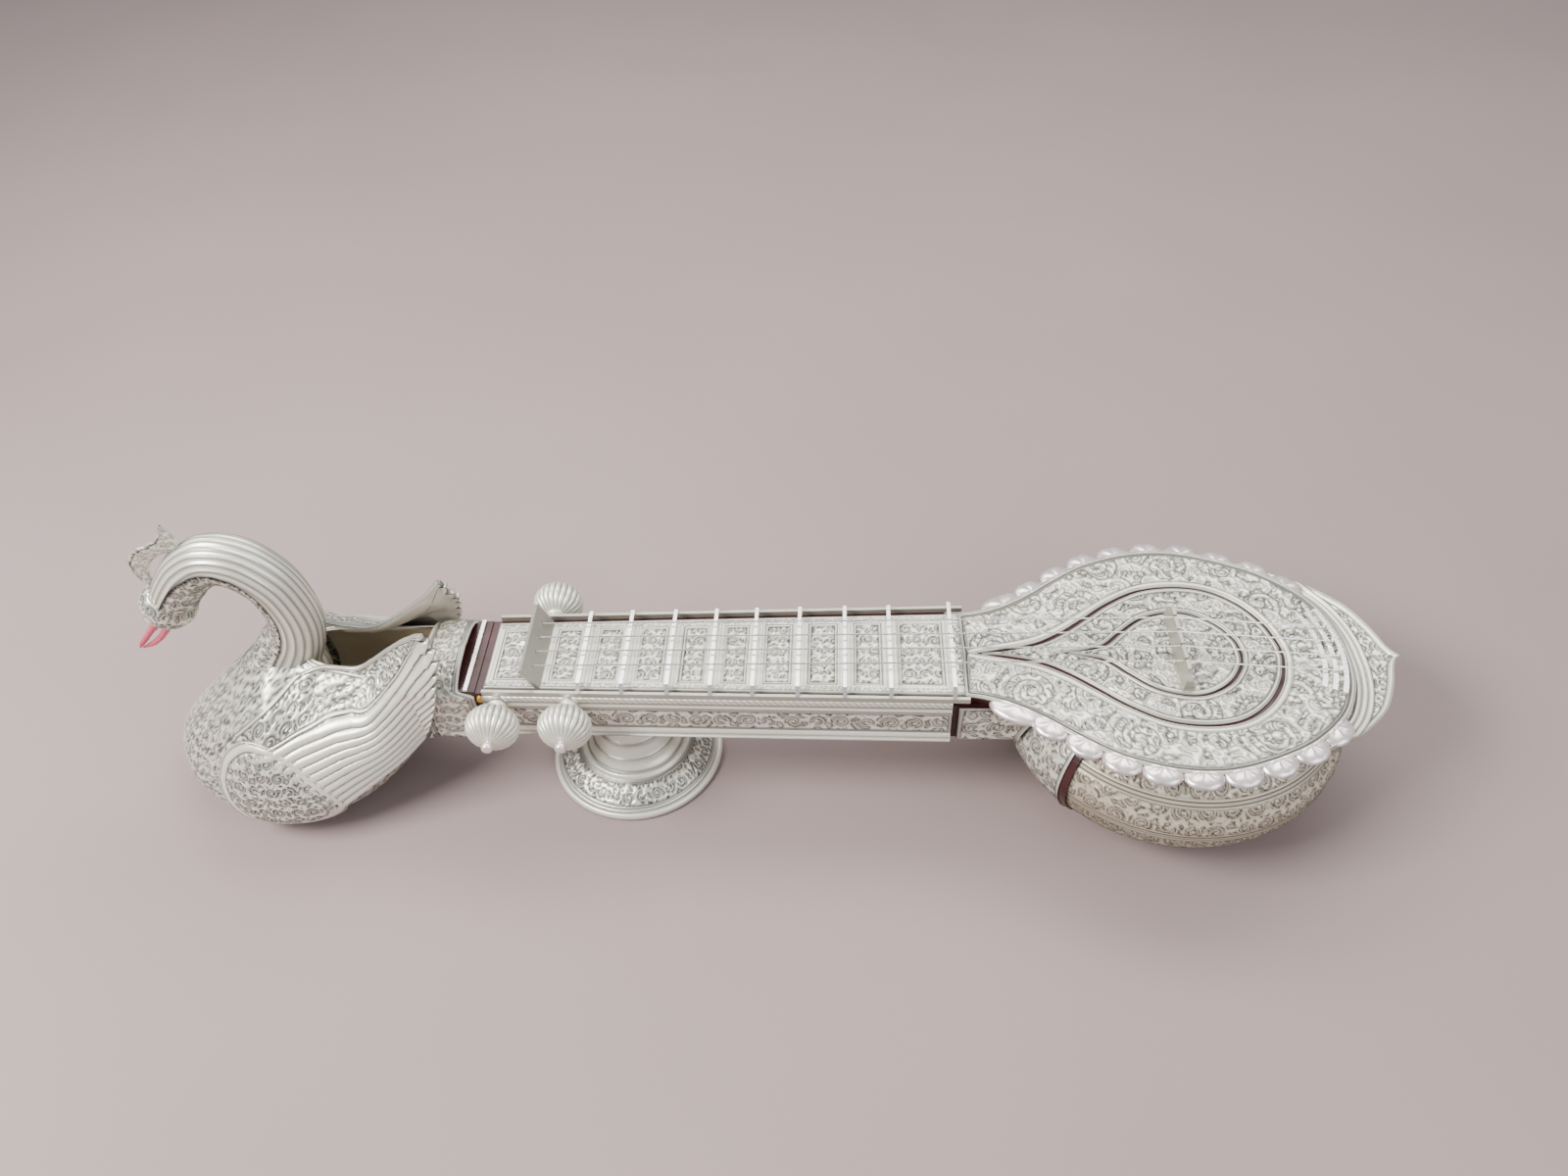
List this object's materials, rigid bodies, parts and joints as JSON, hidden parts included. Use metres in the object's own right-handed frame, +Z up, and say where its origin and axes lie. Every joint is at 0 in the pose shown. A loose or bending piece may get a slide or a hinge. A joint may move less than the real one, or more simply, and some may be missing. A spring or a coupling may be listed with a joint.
{
  "type": "sitar",
  "caption": "Ornamental chased-silver sitar with a swan-head neck, scalloped teardrop soundboard, movable frets, fluted tuning pegs and a flared upper gourd as a foot",
  "frame": {"origin": "centre of the bowl's flat base, on the resting plane", "axes": "+X runs along the neck towards the tail of the bowl, +Z is up out of the soundboard, +Y is across the neck away from the side with two pegs"},
  "size_m": [0.6035, 0.1592, 0.1626],
  "materials": {
    "chased_silver": "frosted, chased with oxidised lines",
    "polished_silver": "bright polished silver",
    "maroon_lacquer": "dark maroon lacquer on wood",
    "steel_wire": "bright wire",
    "pink_enamel": "pink-red enamel",
    "brass": "worn brass"
  },
  "bodies": {
    "instrument": {"neck_core": "maroon_lacquer", "fretboard_plate": "chased_silver", "near_side_panel": "chased_silver", "far_side_panel": "chased_silver", "underside_plate": "chased_silver", "side_rails": "polished_silver", "heel_sleeve": "chased_silver", "bowl_shell": "chased_silver", "heel_cup": "chased_silver", "cup_strips": "maroon_lacquer", "soundboard_base": "maroon_lacquer", "soundboard_outer": "chased_silver", "soundboard_middle": "chased_silver", "soundboard_centre": "chased_silver", "near_petals": "polished_silver", "far_petals": "polished_silver", "tail_leaf": "chased_silver", "tailpiece": "polished_silver", "string_pins": "steel_wire", "bridge": "polished_silver", "nut": "polished_silver", "hitch_pin": "steel_wire", "string_1": "steel_wire", "string_2": "steel_wire", "string_3": "steel_wire", "string_4": "steel_wire", "peg_ferrules": "polished_silver", "socket_collar": "chased_silver", "collar_band": "maroon_lacquer", "fillet_strip": "polished_silver", "collar_screws": "brass", "swan_body": "chased_silver", "swan_neck": "chased_silver", "swan_head": "chased_silver", "swan_beak": "pink_enamel", "swan_crest": "chased_silver", "near_wing": "chased_silver", "far_wing": "chased_silver", "foot_bell": "chased_silver", "foot_stem": "polished_silver", "foot_stud": "steel_wire", "foot_nuts": "steel_wire"},
    "movable_fret_1": {"fret_1": "polished_silver"},
    "movable_fret_2": {"fret_2": "polished_silver"},
    "movable_fret_3": {"fret_3": "polished_silver"},
    "movable_fret_4": {"fret_4": "polished_silver"},
    "movable_fret_5": {"fret_5": "polished_silver"},
    "movable_fret_6": {"fret_6": "polished_silver"},
    "movable_fret_7": {"fret_7": "polished_silver"},
    "movable_fret_8": {"fret_8": "polished_silver"},
    "movable_fret_9": {"fret_9": "polished_silver"},
    "tuning_peg_1": {"peg_1_shaft": "polished_silver", "peg_1_knob": "polished_silver", "peg_1_winding": "steel_wire"},
    "tuning_peg_2": {"peg_2_shaft": "polished_silver", "peg_2_knob": "polished_silver", "peg_2_winding": "steel_wire"},
    "tuning_peg_3": {"peg_3_shaft": "polished_silver", "peg_3_knob": "polished_silver", "peg_3_winding": "steel_wire"}
  },
  "joints": [
    {"name": "peg_1_turn", "type": "hinge", "parent": "instrument", "child": "tuning_peg_1", "pos_m": [-0.322, -0.0395, 0.071], "axis": [0, -1, 0], "continuous": true},
    {"name": "peg_2_turn", "type": "hinge", "parent": "instrument", "child": "tuning_peg_2", "pos_m": [-0.288, -0.0395, 0.071], "axis": [0, -1, 0], "continuous": true},
    {"name": "peg_3_turn", "type": "hinge", "parent": "instrument", "child": "tuning_peg_3", "pos_m": [-0.304, 0.0395, 0.071], "axis": [0, 1, 0], "continuous": true},
    {"name": "fret_1_slide", "type": "slide", "parent": "instrument", "child": "movable_fret_1", "axis": [1, 0, 0], "range_m": [-0.004, 0.004]},
    {"name": "fret_2_slide", "type": "slide", "parent": "instrument", "child": "movable_fret_2", "axis": [1, 0, 0], "range_m": [-0.004, 0.004]},
    {"name": "fret_3_slide", "type": "slide", "parent": "instrument", "child": "movable_fret_3", "axis": [1, 0, 0], "range_m": [-0.004, 0.004]},
    {"name": "fret_4_slide", "type": "slide", "parent": "instrument", "child": "movable_fret_4", "axis": [1, 0, 0], "range_m": [-0.004, 0.004]},
    {"name": "fret_5_slide", "type": "slide", "parent": "instrument", "child": "movable_fret_5", "axis": [1, 0, 0], "range_m": [-0.004, 0.004]},
    {"name": "fret_6_slide", "type": "slide", "parent": "instrument", "child": "movable_fret_6", "axis": [1, 0, 0], "range_m": [-0.004, 0.004]},
    {"name": "fret_7_slide", "type": "slide", "parent": "instrument", "child": "movable_fret_7", "axis": [1, 0, 0], "range_m": [-0.004, 0.004]},
    {"name": "fret_8_slide", "type": "slide", "parent": "instrument", "child": "movable_fret_8", "axis": [1, 0, 0], "range_m": [-0.004, 0.004]},
    {"name": "fret_9_slide", "type": "slide", "parent": "instrument", "child": "movable_fret_9", "axis": [1, 0, 0], "range_m": [-0.004, 0.004]}
  ]
}
